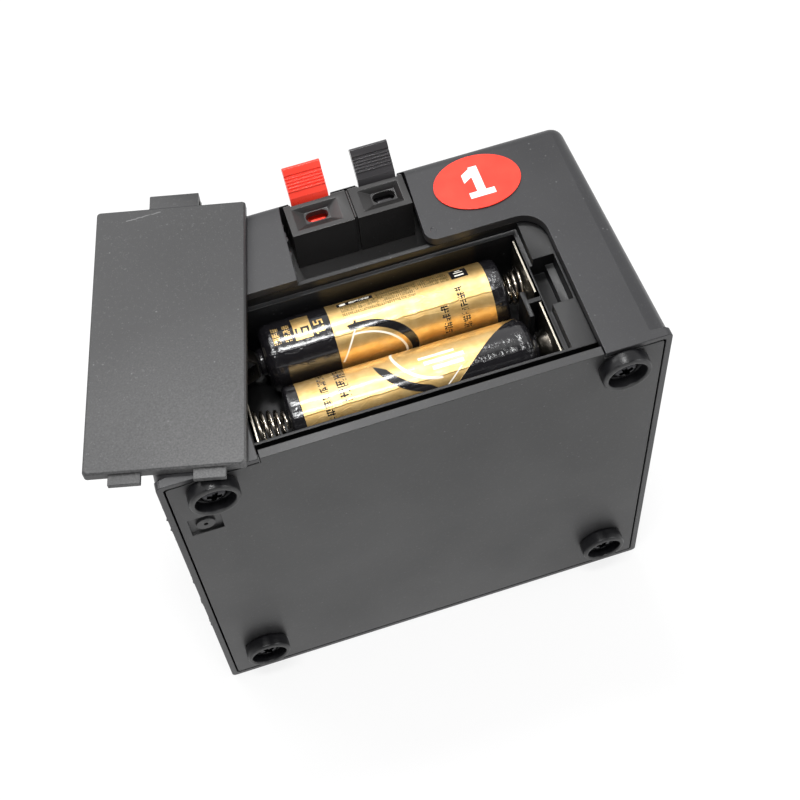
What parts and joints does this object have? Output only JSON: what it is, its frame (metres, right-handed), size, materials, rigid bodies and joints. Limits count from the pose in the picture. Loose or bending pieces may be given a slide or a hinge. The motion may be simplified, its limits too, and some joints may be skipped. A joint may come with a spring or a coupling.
{
  "type": "cold spark fountain firing base",
  "caption": "Black battery-powered receiver box for a cold spark fountain, with battery compartment, loose cover, push terminal levers and cup feet.",
  "frame": {"origin": "centre of the face it lies on, opposite the battery face", "axes": "X along the battery face, +Z out of the battery face, -Y out of the bottom plate with the feet, +Y out of the product's top with the fountain cup"},
  "size_m": [0.1143, 0.0687, 0.0999],
  "materials": {
    "shell_black": "fine matt texture",
    "tray_black": "satin",
    "terminal_black": "satin gloss",
    "lever_red": "satin gloss",
    "lever_black": "satin gloss",
    "foot_rubber": "matt",
    "screw_zinc": "zinc plated",
    "screw_black": "black oxide",
    "contact_nickel": "nickel plated",
    "spring_steel": "bright wire",
    "cell_gold": "gold foil sleeve",
    "sticker_red": "printed, slightly glossy",
    "brass": "bright",
    "lamp_red": "clear red",
    "board_green": "solder mask",
    "relay_blue": "moulded",
    "wire_red": "insulation",
    "wire_black": "insulation"
  },
  "bodies": {
    "base": {"housing": "shell_black", "bottom_plate": "shell_black", "battery_tray": "tray_black", "contact_link": "contact_nickel", "contact_negative": "contact_nickel", "contact_positive": "contact_nickel", "cell_spring_right": "spring_steel", "cell_spring_left": "spring_steel", "terminal_base": "terminal_black", "terminal_block_red": "terminal_black", "terminal_block_black": "terminal_black", "terminal_pin": "screw_zinc", "terminal_clip_red": "brass", "terminal_clip_black": "brass", "channel_sticker": "sticker_red", "fountain_cup": "terminal_black", "cup_nut": "terminal_black", "switch_frame": "terminal_black", "switch_blade_a": "brass", "switch_blade_b": "brass", "indicator_lens": "lamp_red", "circuit_board": "board_green", "relay": "relay_blue", "radio_module": "screw_zinc", "controller_chip": "lever_black", "capacitor": "lever_black", "antenna_coil": "brass", "wire_cell_negative": "wire_black", "wire_cell_positive": "wire_red", "wire_terminal_red": "wire_red", "wire_terminal_black": "wire_black", "wire_switch_a": "wire_black", "wire_switch_b": "wire_black", "wire_lamp": "wire_black", "foot_front_left": "foot_rubber", "foot_screw_front_left": "screw_black", "foot_front_right": "foot_rubber", "foot_screw_front_right": "screw_black", "foot_back_left": "foot_rubber", "foot_screw_back_left": "screw_black", "foot_back_right": "foot_rubber", "foot_screw_back_right": "screw_black", "board_screw_1": "screw_zinc", "board_screw_2": "screw_zinc", "board_screw_3": "screw_zinc", "board_screw_4": "screw_zinc"},
    "cover": {"battery_cover": "shell_black"},
    "cell_one": {"cell_near": "cell_gold"},
    "cell_two": {"cell_far": "cell_gold"},
    "red_lever": {"lever_red": "lever_red"},
    "black_lever": {"lever_black": "lever_black"},
    "power_rocker": {"switch_rocker": "terminal_black"}
  },
  "joints": [
    {"name": "cover_lift", "type": "slide", "parent": "base", "child": "cover", "axis": [0, 0, 1], "range_m": [0, 0.06]},
    {"name": "cell_one_lift", "type": "slide", "parent": "base", "child": "cell_one", "axis": [0, 0, 1], "range_m": [0, 0.03]},
    {"name": "cell_two_lift", "type": "slide", "parent": "base", "child": "cell_two", "axis": [0, 0, 1], "range_m": [0, 0.03]},
    {"name": "red_lever_press", "type": "hinge", "parent": "base", "child": "red_lever", "pos_m": [-0.00546, 0.0252, 0.0882], "axis": [-1, 0, 0], "range_deg": [0, 14], "stiffness_Nm_per_rad": 0.02, "springref_deg": -20.05},
    {"name": "black_lever_press", "type": "hinge", "parent": "base", "child": "black_lever", "pos_m": [0.0087, 0.0252, 0.0882], "axis": [-1, 0, 0], "range_deg": [0, 14], "stiffness_Nm_per_rad": 0.02, "springref_deg": -20.05},
    {"name": "power_rocker_tilt", "type": "hinge", "parent": "base", "child": "power_rocker", "pos_m": [0.04757, 0.001, 0.03], "axis": [0, 1, 0], "range_deg": [-10, 10]}
  ]
}
